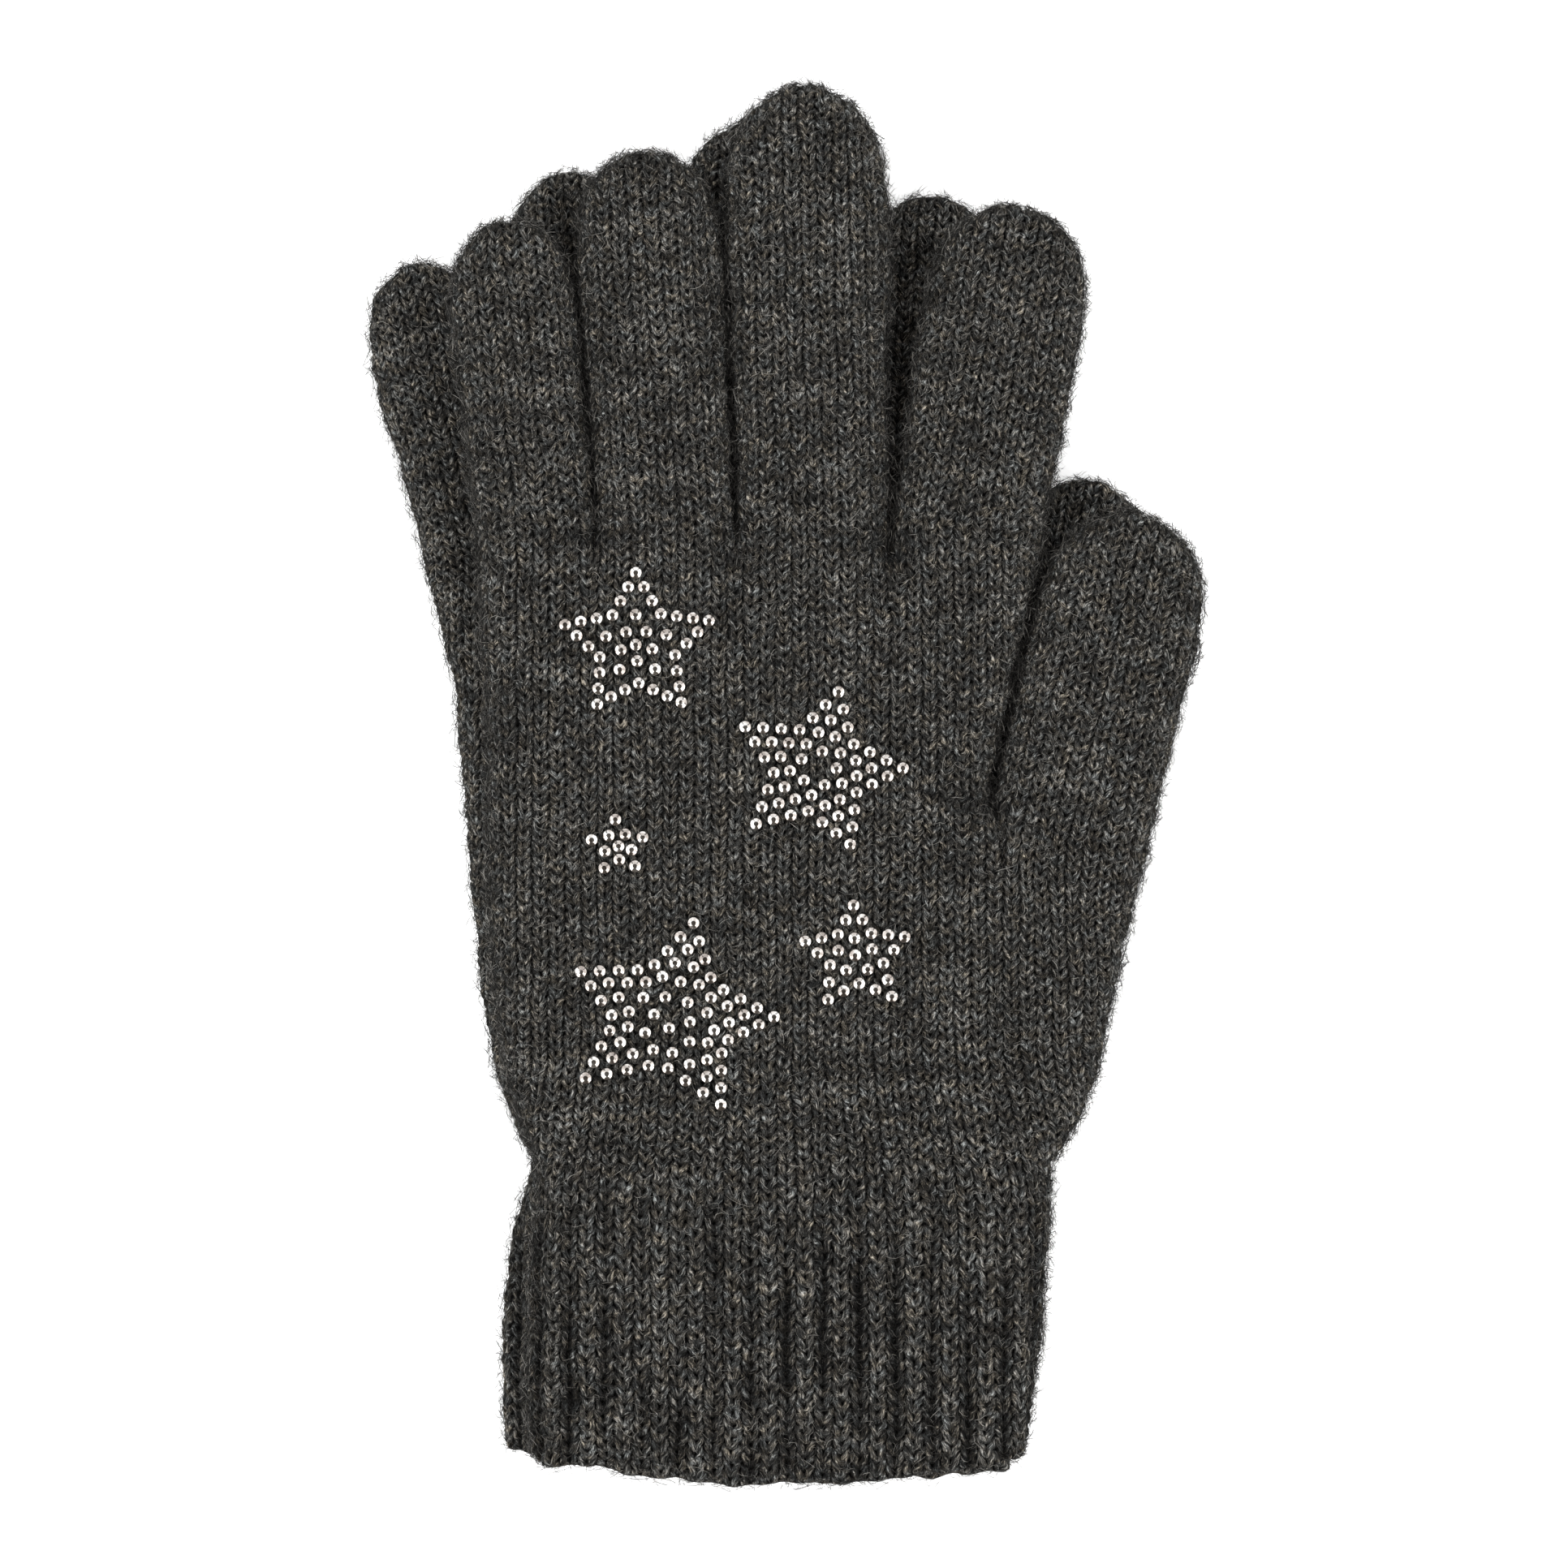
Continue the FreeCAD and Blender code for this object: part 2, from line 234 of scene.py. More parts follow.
class Glove:
    """One glove's levels, digits and outlines."""

    def __init__(self, side):
        self.side = side
        self.digits = {n: Digit(side, n) for n in DIGITS}
        low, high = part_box(f"{side}_palm")
        self.low, self.high = low.z / MM, high.z / MM
        self.half = (self.high - self.low) / 2
        self.middle = (self.high + self.low) / 2
        self.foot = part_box(f"{side}_cuff")[0].z / MM
        self.wrist = low.y / MM
        self.palm = cad_mesh(f"{side}_palm")
        self.panel = cad_mesh(f"{side}_knuckle_panel")
        self.cuff = cad_mesh(f"{side}_cuff")
        fingers = [self.digits[n] for n in FINGERS]
        corners = [fingers[0].left]
        corners += [(a.right + b.left) / 2 for a, b in zip(fingers, fingers[1:])]
        corners.append(fingers[-1].right)
        for finger, a, b in zip(fingers, corners, corners[1:]):
            finger.left, finger.right = a, b
        self.knuckles = corners
        thumb = self.digits["thumb"]
        self.crotch, self.thumb_end = thumb.left, thumb.right


def reach_at(cad, y):
    """A section's left and right sides at a height on the glove."""
    return reach(cad, np.array([0.0, y]), UP)


def side_curve(cad, start, end, which):
    """A section's left (0) or right (1) outline between two known ends, as a function of 0 to 1."""
    heights = np.linspace(start[1], end[1], SAMPLES)
    xs = [start[0]] + [reach_at(cad, y)[which] for y in heights[1:-1]] + [end[0]]
    shares = np.linspace(0, 1, SAMPLES)
    return lambda r: np.array([np.interp(r, shares, xs), np.interp(r, shares, heights)])


# ------------------------------------------------ cross sections


def profile(half_width, half_height, corner, count):
    """The upper half of a tube's cross section in count equal steps, from its left to its right.

    Returns how far across and how high each point is, and how much longer the way to it is than its
    distance from the middle, which tells the knit how far to run on round the side."""
    corner = min(corner, half_width)
    angle = np.linspace(0, math.pi / 2, CORNER_SAMPLES)
    x = -half_width + corner * (1 - np.cos(angle))
    z = half_height * np.sin(angle)
    x = np.concatenate([x, -x[::-1]])
    z = np.concatenate([z, z[::-1]])
    length = np.concatenate([[0], np.cumsum(np.hypot(np.diff(x), np.diff(z)))])
    at = np.linspace(0, length[-1], count + 1)
    across = np.interp(at, length, x)
    return across, np.interp(at, length, z), at - length[-1] / 2 - across


def steps_round(width, half_height, spacing):
    """How many columns of points one side of a tube takes."""
    return max(12, int(round((width + 0.9 * half_height) / spacing)))


def lobed(bounds, width, half_height, corners, counts):
    """Several closed profiles side by side, which share the points where they meet."""
    parts = []
    for k, count in enumerate(counts):
        share = bounds[k + 1] - bounds[k]
        across, high, extra = profile(share * width / 2, half_height, corners[k], count)
        centre = (bounds[k] + bounds[k + 1]) / 2
        part = np.stack([centre + across / width, high, extra])
        parts.append(part if k == 0 else part[:, 1:])
    return np.concatenate(parts, axis=1)


def patch(left, right, bottom, top, shares, r):
    """Points of the plane patch between four curves (Coons)."""
    u = shares[:, None]
    flat = (1 - u) * (1 - r) * bottom(0.0) + u * (1 - r) * bottom(1.0)
    flat = flat + (1 - u) * r * top(0.0) + u * r * top(1.0)
    return (1 - r) * bottom(shares) + r * top(shares) + (1 - u) * left(r) + u * right(r) - flat


def along_line(points):
    """Points on a bent line by share of its length."""
    points = np.array(points)
    length = np.concatenate([[0], np.cumsum(np.linalg.norm(np.diff(points, axis=0), axis=1))])
    shares = length / length[-1]

    def at(share):
        xs = np.interp(share, shares, points[:, 0])
        ys = np.interp(share, shares, points[:, 1])
        return np.stack([xs, ys], axis=-1)

    return at, shares, length[-1]


def join_layers(upper, lower):
    """One ring from an upper row's arrays and a lower row's, which share their ends."""
    return [np.concatenate([a, b[::-1][1:-1]]) for a, b in zip(upper, lower)]


def grids(rings):
    """A section's grids, each with one row for each ring."""
    return [np.array(rows) for rows in zip(*rings)]


def hand_rows(glove, bounds, curves, counts, corners, deeper):
    """The rows of a hand section: points, how far the knit runs on, and how pinched it is.

    bounds: the lobes' shares of the top row; counts: columns above and below for each lobe; deeper:
    how much further down the hand each groove between lobes runs."""
    left, right, bottom, top, top_length = curves
    height = abs(top(0.5)[1] - bottom(0.5)[1])
    rows = int(height / STEP[glove.side][2])
    edges = np.array(bounds[1:-1])
    rings = []
    for i in range(rows + 1):
        r = i / rows
        width = np.linalg.norm(right(r) - left(r)) if i < rows else top_length
        below = (1 - r) * height
        layers = []
        for sign, layer_counts in zip((1, -1), counts):
            many = lobed(bounds, width, glove.half, corners, layer_counts)
            across, high, extra = profile(width / 2, glove.half, HAND_CORNER, sum(layer_counts))
            one = np.stack([0.5 + across / width, high, extra])
            near = np.exp(-(((many[0][:, None] - edges) * width / GROOVE_WIDTH) ** 2))
            lowered = np.clip(below - (near * np.array(deeper)).sum(1), 0, None)
            fade = 1 - np.exp(-lowered / GROOVE_FADE) if i else np.ones(len(lowered))
            shares, high, extra = mix(many, one, fade)
            plan = patch(left, right, bottom, top, shares, r)
            points = np.column_stack([plan, glove.middle + sign * high])
            layers.append((points, extra, (1 - fade) * near.max(1)))
        rings.append(join_layers(*layers))
    return grids(rings)


def level(glove, distance, foot):
    """Half height and middle height of a section that comes down from the hand's lower side."""
    low = mix(glove.low, foot, smooth(distance / SETTLE))
    return (glove.high - low) / 2, (glove.high + low) / 2


def digit_rows(glove, name, counts):
    """The rows of a digit, from its root round its tip."""
    digit = glove.digits[name]
    step = STEP[glove.side][2]
    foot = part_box(f"{glove.side}_{name}")[0].z / MM
    straight_length = digit.length - TIP
    straight = int(straight_length / step)
    turns = int(TIP * TIP_ARC / step)
    stations = list(np.linspace(0, straight_length, straight + 1))
    angles = np.linspace(0, TIP_END, turns + 1)[1:]
    stations += list(straight_length + TIP * np.sin(angles))
    fullness = [1.0] * (straight + 1) + list(np.cos(angles) ** TIP_FULLNESS)
    rings = []
    for s, share in zip(stations, fullness):
        a, b = digit.row(s)
        width = np.linalg.norm(b - a)
        half, middle = level(glove, s, foot)
        layers = []
        for sign, count in zip((1, -1), counts):
            corner = DIGIT_CORNER * width / 2
            across, high, extra = profile(width / 2, half * share, corner, count)
            plan = mix(a, b, (0.5 + across / width)[:, None])
            layers.append((np.column_stack([plan, middle + sign * high]), extra))
        rings.append(join_layers(*layers))
    return grids(rings)


def hem_line(cuff):
    """The height of the hem's edge, rounded at its corners, by the share of the cuff's width."""
    lowest = cuff[0][:, 1].min()
    left, right = reach_at(cuff, lowest + HEM_CORNER)
    shares = np.linspace(0.006, 0.994, HEM_SAMPLES)
    columns = [np.array([mix(left, right, share), 0.0]) for share in shares]
    heights = [-reach(cuff, column, RIGHTWARD)[1] for column in columns]
    shares = np.concatenate([[0.0], shares, [1.0]])
    heights = [heights[0] + 1.0] + heights + [heights[-1] + 1.0]
    return lambda share: np.interp(share, shares, heights)


def cuff_rows(glove, counts):
    """The rows of the cuff, from the hem up to the wrist."""
    hem = hem_line(glove.cuff)
    lowest = float(hem(np.linspace(0, 1, HEM_SAMPLES)).min())
    rows = int((glove.wrist - lowest) / STEP[glove.side][2])
    rings = []
    for i in range(rows + 1):
        r = i / rows
        y = mix(lowest, glove.wrist, r)
        ends = [mix(float(hem(share)) + 0.4, glove.wrist, r) for share in (0.0, 1.0)]
        ends = [min(end, glove.wrist - 0.6) for end in ends]
        spread = [reach_at(glove.cuff, end)[k] for k, end in enumerate(ends)]
        if i == rows:
            spread = reach_at(glove.palm, glove.wrist + NEAR_ROW)
        width = spread[1] - spread[0]
        half, middle = level(glove, glove.wrist - y, glove.foot)
        layers = []
        for sign, count in zip((1, -1), counts):
            across, high, extra = profile(width / 2, half, HAND_CORNER, count)
            x = (spread[0] + spread[1]) / 2 + across
            up = mix(hem(0.5 + across / width) + HEM_ROLL, glove.wrist, r)
            layers.append((np.column_stack([x, up, middle + sign * high]), extra))
        rings.append(join_layers(*layers))
    return grids(rings)


# ------------------------------------------------ the knit


WAVES = rng.normal(size=(3, 12, 3)) * np.array([0.16, 0.42, 1.5])[:, None, None]
PHASES = rng.uniform(0, 2 * math.pi, size=(3, 12))


def waves(points, scale):
    """Smooth noise, about -1 to 1, of scale 0 for lumps, 1 for dents or 2 for single stitches."""
    total = np.zeros(points.shape[:-1])
    for direction, phase in zip(WAVES[scale], PHASES[scale]):
        total += np.sin(points @ direction + phase)
    return total / 3.2


def leg_height(off, up, f):
    """How high a leg stands, off to the side of its middle and up from it, from 0 to 1."""
    across = off * LEG_COS + up * LEG_SIN
    along = up * LEG_COS - off * LEG_SIN
    across, along = across / LEG_HALF_WIDTH, along / LEG_HALF_LENGTH
    return f.sqrt(f.maximum(1 - across * across - along * along, 0.0))


def stitches(u, v, f):
    """Plain knit at wale u and course v: how high it stands, and which leg it is, -1 or 1.

    Neighbouring courses overlap. f does the sums: numpy for points, NodeMaths for a material."""
    a = u - f.floor(u)
    off = (f.minimum(a, 1 - a) - LEG_PLACE) * WALE
    t = v - f.floor(v) - 0.5
    here = leg_height(off, t * COURSE, f)
    neighbour = leg_height(off, (t - f.sign(t)) * COURSE, f)
    return f.maximum(here, neighbour), f.sign(a - 0.5)


def ribbing(glove, y):
    """How strongly the knit is ribbed at a height: fully at the hem, not at all on the hand."""
    return smooth((glove.wrist + RIB_END - y) / RIB_FADE)


def ring_normals(ring, wrist_row):
    """Normals of a section's grid. They are the same in both sections at the wrist."""
    around = np.roll(ring, -1, axis=1) - np.roll(ring, 1, axis=1)
    along = np.gradient(ring, axis=0)
    if wrist_row is not None:
        along[wrist_row] = (0.0, 1.0, 0.0)
    return unit_rows(np.cross(around, along))


class Knit:
    """Where a glove's columns and courses run, as functions of the plane."""

    def __init__(self, glove):
        self.glove = glove
        self.middle = float(np.mean([glove.knuckles[0][0], glove.knuckles[-1][0]]))

    def hand(self, plan):
        """Wale and course numbers on the hand and the cuff."""
        y = plan[..., 1] - self.glove.wrist
        down = smooth((WIDEN_HEIGHT - y) / RIB_FADE)
        wale = mix(WALE, CUFF_WALE, down)
        course = np.where(y > 0, y / COURSE, y / CUFF_COURSE)
        return (plan[..., 0] - self.middle) / wale, course

    def digit(self, name, plan):
        """Wale and course numbers on a digit, which turn from the hand's way to its own."""
        digit = self.glove.digits[name]
        u0, v0 = self.hand(digit.root)
        side = np.array([digit.out[1], -digit.out[0]])
        relative = plan - digit.root
        u1 = u0 + relative @ side / WALE
        v1 = v0 + relative @ digit.out / COURSE
        u2, v2 = self.hand(plan)
        run = TAKEOVER["thumb" if name == "thumb" else "finger"]
        share = smooth((relative @ digit.normal + run) / (run + TAKEOVER["digit"]))
        return mix(u2, u1, share), mix(v2, v1, share)


def knit_section(glove, knit, name, ring, run_on):
    """Wale and course numbers of each point of a section."""
    plan = ring[:, :, :2]
    if name in DIGITS:
        u, v = knit.digit(name, plan)
    elif name == "knuckle_panel":
        u, v = knit.hand(plan)
        for finger in FINGERS:
            digit = glove.digits[finger]
            inside = (plan[..., 0] > digit.left[0]) & (plan[..., 0] <= digit.right[0])
            if finger == "pinky":
                inside |= plan[..., 0] <= digit.left[0]
            if finger == "index":
                inside |= plan[..., 0] > digit.right[0]
            uf, vf = knit.digit(finger, plan)
            u, v = np.where(inside, uf, u), np.where(inside, vf, v)
    elif name == "palm":
        uh, vh = knit.hand(plan)
        ut, vt = knit.digit("thumb", plan)
        # The thumb's columns take over to the right of a line from its crotch down to the wrist
        line = np.interp(plan[..., 1], [glove.wrist, glove.crotch[1]], [60, glove.crotch[0]])
        share = smooth((plan[..., 0] - line) / 6.0 + 0.5)
        u, v = mix(uh, ut, share), mix(vh, vt, share)
    else:
        u, v = knit.hand(plan)
    return u + run_on / WALE, v


# ------------------------------------------------ meshes


def new_object(name, points, faces, material):
    """A smooth mesh object from points in millimetres and arrays of quads and triangles."""
    mesh = bpy.data.meshes.new(name)
    mesh.vertices.add(len(points))
    mesh.vertices.foreach_set("co", (points * MM).astype(np.float32).ravel())
    flat = np.concatenate([f.ravel() for f in faces])
    totals = np.concatenate([np.full(len(f), f.shape[1]) for f in faces])
    starts = np.concatenate([[0], np.cumsum(totals)[:-1]])
    mesh.loops.add(len(flat))
    mesh.loops.foreach_set("vertex_index", flat.astype(np.int32))
    mesh.polygons.add(len(totals))
    mesh.polygons.foreach_set("loop_start", starts.astype(np.int32))
    mesh.update(calc_edges=True)
    mesh.validate()
    mesh.shade_smooth()
    mesh.materials.append(material)
    made = bpy.data.objects.new(name, mesh)
    bpy.context.scene.collection.objects.link(made)
    return made


def set_attribute(obj, name, kind, values):
    attribute = obj.data.attributes.new(name, kind, "POINT")
    part = "value" if kind == "FLOAT" else "vector"
    attribute.data.foreach_set(part, values.astype(np.float32).ravel())


def grid_quads(index):
    """Quads of a grid of vertex numbers whose columns close round."""
    nxt = np.roll(index, -1, axis=1)
    return np.stack([index[:-1], nxt[:-1], nxt[1:], index[1:]], axis=-1).reshape(-1, 4)


def shell_mesh(name, outer, inner, closed_tip, hem, material):
    """A hollow shell: the outer grid, the inner grid, and the rims between them.

    Returns the object and how many points it has. The outer grid's come first, a hem's last."""
    rows, columns = outer.shape[:2]
    kept = sorted(set(list(range(0, rows, INNER_ROWS)) + [rows - 1]))
    inner = inner[kept]
    points = [outer.reshape(-1, 3), inner.reshape(-1, 3)]
    out_index = np.arange(rows * columns).reshape(rows, columns)
    in_index = rows * columns + np.arange(len(kept) * columns).reshape(len(kept), columns)
    count = rows * columns + len(kept) * columns
    faces = [grid_quads(out_index), grid_quads(in_index)[:, ::-1]]
    first = [in_index[0], out_index[0]]
    if hem is not None:
        roll = count + np.arange(len(hem) * columns).reshape(len(hem), columns)
        points.append(hem.reshape(-1, 3))
        count += len(hem) * columns
        first = [in_index[0]] + list(roll[::-1]) + [out_index[0]]
    faces.append(grid_quads(np.array(first)))
    triangles = []
    if closed_tip:
        for index, grid, turn in ((out_index[-1], outer[-1], 1), (in_index[-1], inner[-1], -1)):
            points.append(grid.mean(0)[None])
            pole = np.full(columns, count)
            count += 1
            fan = np.stack([index, np.roll(index, -1), pole], axis=-1)
            triangles.append(fan[:, ::turn])
    else:
        faces.append(grid_quads(np.array([out_index[-1], in_index[-1]])))
    points = np.concatenate(points)
    return new_object(name, points, [np.concatenate(faces)] + triangles, material), len(points)


def bake_uv(obj, rows, columns):
    """The bake's layout: a plain grid for the outer surface, and a strip below it for the rest."""
    mesh = obj.data
    layer = mesh.uv_layers.new(name="OFBake")
    corners = np.empty(len(mesh.loops), np.int32)
    mesh.loops.foreach_get("vertex_index", corners)
    outer_count = rows * columns
    outer = corners < outer_count
    column = corners % columns
    row = np.where(outer, corners // columns, 0)
    starts = np.empty(len(mesh.polygons), np.int32)
    mesh.polygons.foreach_get("loop_start", starts)
    totals = np.empty(len(mesh.polygons), np.int32)
    mesh.polygons.foreach_get("loop_total", totals)
    face_of = np.repeat(np.arange(len(starts)), totals)
    highest = np.zeros(len(starts), int)
    np.maximum.at(highest, face_of, column)
    wraps = (highest[face_of] == columns - 1) & (column == 0)
    across = np.where(wraps, columns, column) / columns
    inner_row = np.clip((corners - outer_count) // columns, 0, 60) / 61
    whole = np.ones(len(starts), bool)
    np.logical_and.at(whole, face_of, outer)
    up = np.where(whole[face_of], 0.12 + 0.88 * row / max(rows - 1, 1), 0.1 * inner_row)
    uv = np.stack([across, up], axis=-1)
    layer.data.foreach_set("uv", uv.astype(np.float32).ravel())


# ------------------------------------------------ fibres


FIBRE_RINGS = 3
FIBRES_PER_MESH = 11000
FIBRE_FLOOR = 0.06  # no fibre's middle line goes lower, so that none reaches into the floor
# Fibres to a square millimetre, fewer on the lower glove, which is mostly covered, and how many
# times as many stand where the knit turns down
FUZZ = {"left": 2.2, "right": 0.55}
EDGE_FUZZ = {"left": 3.4, "right": 7.0}


def fibres(name, base, normal, along, lengths, lift, curl, radius, tone):
    """Closed three-sided fibres, one on each base point, tapering to both ends.

    lift: how high each starts, how far it bows up in its middle and how far its end rises;
    curl: the size of its sideways bend and wave, as shares of its own length."""
    count = len(base)
    side = unit_rows(np.cross(along, normal))
    phase = rng.uniform(0, 2 * math.pi, count)
    path = []
    for t in np.linspace(0, 1, FIBRE_RINGS + 2):
        sideways = curl[:, 0] * (t - 0.5) ** 2 * 4 + curl[:, 1] * np.sin(2 * math.pi * t + phase)
        shrink = 1 - np.abs(curl[:, 0]) * (t - 0.5) ** 2
        height = lift[:, 0] + lift[:, 1] * math.sin(math.pi * t) + lift[:, 2] * t * t
        away = ((t - 0.5) * lengths * shrink)[:, None]
        point = base + along * away + side * (sideways * lengths)[:, None]
        path.append(point + normal * height[:, None])
    path = np.array(path)
    path[..., 2] += np.maximum(0, FIBRE_FLOOR - path[..., 2].min(axis=0))
    size = 3 * FIBRE_RINGS + 2
    points = np.empty((count, size, 3))
    points[:, 0], points[:, -1] = path[0], path[-1]
    for ring in range(FIBRE_RINGS):
        for k in range(3):
            angle = phase + 2 * math.pi * k / 3
            offset = side * np.cos(angle)[:, None] + normal * np.sin(angle)[:, None]
            points[:, 1 + 3 * ring + k] = path[ring + 1] + offset * radius[:, None]
    pattern = []
    for k in range(3):
        n = (k + 1) % 3
        last = size - 4
        pattern += [(0, 1 + n, 1 + k), (size - 1, last + k, last + n)]
        for ring in range(FIBRE_RINGS - 1):
            a = 1 + 3 * ring
            pattern += [(a + k, a + n, a + 3 + n), (a + k, a + 3 + n, a + 3 + k)]
    pattern = np.array(pattern)
    faces = (np.arange(count)[:, None, None] * size + pattern).reshape(-1, 3)
    obj = new_object(name, points.reshape(-1, 3), [faces], fuzz_material)
    set_attribute(obj, "tone", "FLOAT", np.repeat(tone, size))
    layer = obj.data.uv_layers.new(name="OFBake")
    cells = int(math.ceil(math.sqrt(count)))
    cell = np.repeat(np.arange(count), len(pattern) * 3)
    uv = np.stack([(cell % cells + 0.5) / cells, (cell // cells + 0.5) / cells], axis=-1)
    triangle = np.array([[-0.3, -0.3], [0.3, -0.3], [0.0, 0.3]])
    spot = np.tile(triangle, (count * len(pattern), 1)) / cells
    layer.data.foreach_set("uv", (uv + spot).astype(np.float32).ravel())
    return obj


def coat(glove, name, outer, normal, leg, light):
    """Fibres that lie on a section, mostly along the legs of its stitches, and some that stand off.

    light: the knit's relief times its painted shade at each point; the fibres that lie in its gaps
    are painted as dark."""
    # Where they grow
    a = outer[:-1]
    nxt = np.roll(outer, -1, axis=1)
    area = np.linalg.norm(np.cross(nxt[:-1] - a, outer[1:] - a), axis=2)
    seen = mix(0.14, 1.0, smooth((normal[:-1, :, 2] + 0.5) / 0.4))
    edge = 1 - smooth((np.abs(normal[:-1, :, 2]) - 0.15) / 0.5)
    weight = area * seen * mix(1.0, EDGE_FUZZ[glove.side], edge)
    count = int(weight.sum() * FUZZ[glove.side])
    cells = rng.choice(weight.size, count, p=(weight / weight.sum()).ravel())
    i, j = np.unravel_index(cells, weight.shape)
    s, t = rng.random(count)[:, None], rng.random(count)[:, None]
    k = (j + 1) % outer.shape[1]
    base = mix(mix(outer[i, j], outer[i, k], s), mix(outer[i + 1, j], outer[i + 1, k], s), t)
    # Which way they lie
    n = normal[i, j]
    forward = outer[np.minimum(i + 3, len(outer) - 1), j] - outer[np.maximum(i - 3, 0), j]
    forward = unit_rows(forward)
    side = np.cross(forward, n)
    rim = edge[i, j]
    loose = rng.random(count) < mix(0.36, 0.65, rim)
    angle = leg[i, j] * LEG_ANGLE + rng.normal(0, 0.35, count)
    angle = np.where(loose, rng.uniform(-math.pi, math.pi, count), angle)
    along = forward * np.cos(angle)[:, None] + side * np.sin(angle)[:, None]
    # How each is shaped: the loose ones are longer and rise higher
    long = rng.gamma(6.0, 0.36, count) * (1 + 0.25 * rim)
    lengths = np.where(loose, long, rng.gamma(7.0, 0.22, count))
    start = rng.uniform(-0.12, 0.06, count)
    bow = rng.uniform(0.05, 0.24, count) * np.where(loose, 1 + 1.8 * rim, 1.0)
    high = rng.uniform(-0.1, 0.8, count) * (1 + 1.6 * rim)
    lift = np.stack([start, bow, np.where(loose, high, rng.uniform(-0.15, 0.18, count))], axis=-1)
    radius = rng.uniform(0.018, 0.038, count) * (1 + 0.4 * rim)
    # Lying fibres take the knit's painted shade, darker in its gaps and grooves; loose ones get
    # only a random tone
    tone = rng.beta(1.8, 2.0, count) * np.where(loose, 1.04, mix(0.35, 1.1, light[i, j]))
    curl = np.stack([rng.normal(0, 0.16, count), rng.normal(0, 0.06, count)], axis=-1)
    made = []
    for first in range(0, count, FIBRES_PER_MESH):
        part = slice(first, min(first + FIBRES_PER_MESH, count))
        label = f"{glove.side}_{name}_fuzz_{len(made) + 1}"
        values = [v[part] for v in (base, n, along, lengths, lift, curl, radius, tone)]
        made.append(fibres(label, *values))
    return made


# ------------------------------------------------ materials


def node_step(operation):
    return lambda a, *others: a.step(operation, *others)


class Number:
    """A number that a material's nodes work out, for use in sums."""

    def __init__(self, nodes, socket):
        self.nodes, self.socket = nodes, socket

    def step(self, operation, *others):
        node = self.nodes.new("ShaderNodeMath", (self, *others), operation=operation)
        return Number(self.nodes, node.outputs[0])

    __add__, __sub__ = node_step("ADD"), node_step("SUBTRACT")
    __mul__, __truediv__ = node_step("MULTIPLY"), node_step("DIVIDE")

    def __rsub__(self, other):
        return self.step("MULTIPLY_ADD", -1.0, other)


class NodeMaths:
    """The functions of numpy that a sum may use, for Numbers."""

    floor, sign, sqrt = node_step("FLOOR"), node_step("SIGN"), node_step("SQRT")
    minimum, maximum = node_step("MINIMUM"), node_step("MAXIMUM")


class Nodes:
    """A material and short ways to wire it."""

    def __init__(self, name):
        self.material = bpy.data.materials.new(name)
        self.material.use_nodes = True
        self.tree = self.material.node_tree
        self.shader = self.tree.nodes["Principled BSDF"]

    def new(self, kind, inputs=(), **settings):
        """A node, with inputs given in their order or by name or number."""
        node = self.tree.nodes.new(kind)
        for key, value in settings.items():
            setattr(node, key, value)
        for key, value in inputs.items() if isinstance(inputs, dict) else enumerate(inputs):
            self.put(node.inputs[key], value)
        return node

    def put(self, socket, value):
        if isinstance(value, Number):
            value = value.socket
        if isinstance(value, bpy.types.NodeSocket):
            self.tree.links.new(value, socket)
        else:
            socket.default_value = value

    def finish(self, colour, roughness, specular=0.5, metallic=0.0):
        """Give the shader its colour and its own numbers."""
        self.put(self.shader.inputs["Base Color"], colour)
        numbers = {"Roughness": roughness, "Specular IOR Level": specular, "Metallic": metallic}
        for name, value in numbers.items():
            self.shader.inputs[name].default_value = value
        return self.material

    def attribute(self, name):
        """A mesh's number attribute."""
        return Number(self, self.new("ShaderNodeAttribute", attribute_name=name).outputs["Fac"])

    def coordinates(self, name):
        """The three parts of a mesh's vector attribute."""
        source = self.new("ShaderNodeAttribute", attribute_name=name)
        parts = self.new("ShaderNodeSeparateXYZ", [source.outputs["Vector"]])
        return [Number(self, socket) for socket in parts.outputs]

    def vector(self, *parts):
        return self.new("ShaderNodeCombineXYZ", parts).outputs[0]

    def noise(self, x, y, z, detail=2.0, rough=0.5):
        inputs = {"Scale": 1.0, "Detail": detail, "Roughness": rough}
        inputs["Vector"] = self.vector(x, y, z)
        return Number(self, self.new("ShaderNodeTexNoise", inputs).outputs["Fac"])

    def remap(self, value, low, high, to_low=0.0, to_high=1.0):
        inputs = (value, low, high, to_low, to_high)
        return Number(self, self.new("ShaderNodeMapRange", inputs, clamp=True).outputs[0])

    def colours(self, value, stops):
        node = self.new("ShaderNodeValToRGB", [value])
        ramp = node.color_ramp
        while len(ramp.elements) < len(stops):
            ramp.elements.new(0.5)
        for element, (place, colour) in zip(ramp.elements, stops):
            element.position = place
            element.color = (*colour, 1)
        return node.outputs[0]

    def times(self, colour, other):
        """A colour multiplied by another colour or by a Number."""
        if isinstance(other, Number):
            other = self.vector(other, other, other)
        inputs = {0: 1.0, 6: colour, 7: other}
        node = self.new("ShaderNodeMix", inputs, data_type="RGBA", blend_type="MULTIPLY")
        return node.outputs[2]

    def bump(self, height, strength, distance):
        """Shape the shader's surface with a Number. distance is in millimetres."""
        inputs = {"Strength": strength, "Distance": distance * MM, "Height": height}
        node = self.new("ShaderNodeBump", inputs)
        self.put(self.shader.inputs["Normal"], node.outputs[0])


def greys(*stops):
    """Colour stops of a slightly warm grey."""
    return [(place, (level, level * 0.96, level * 0.88)) for place, level in stops]


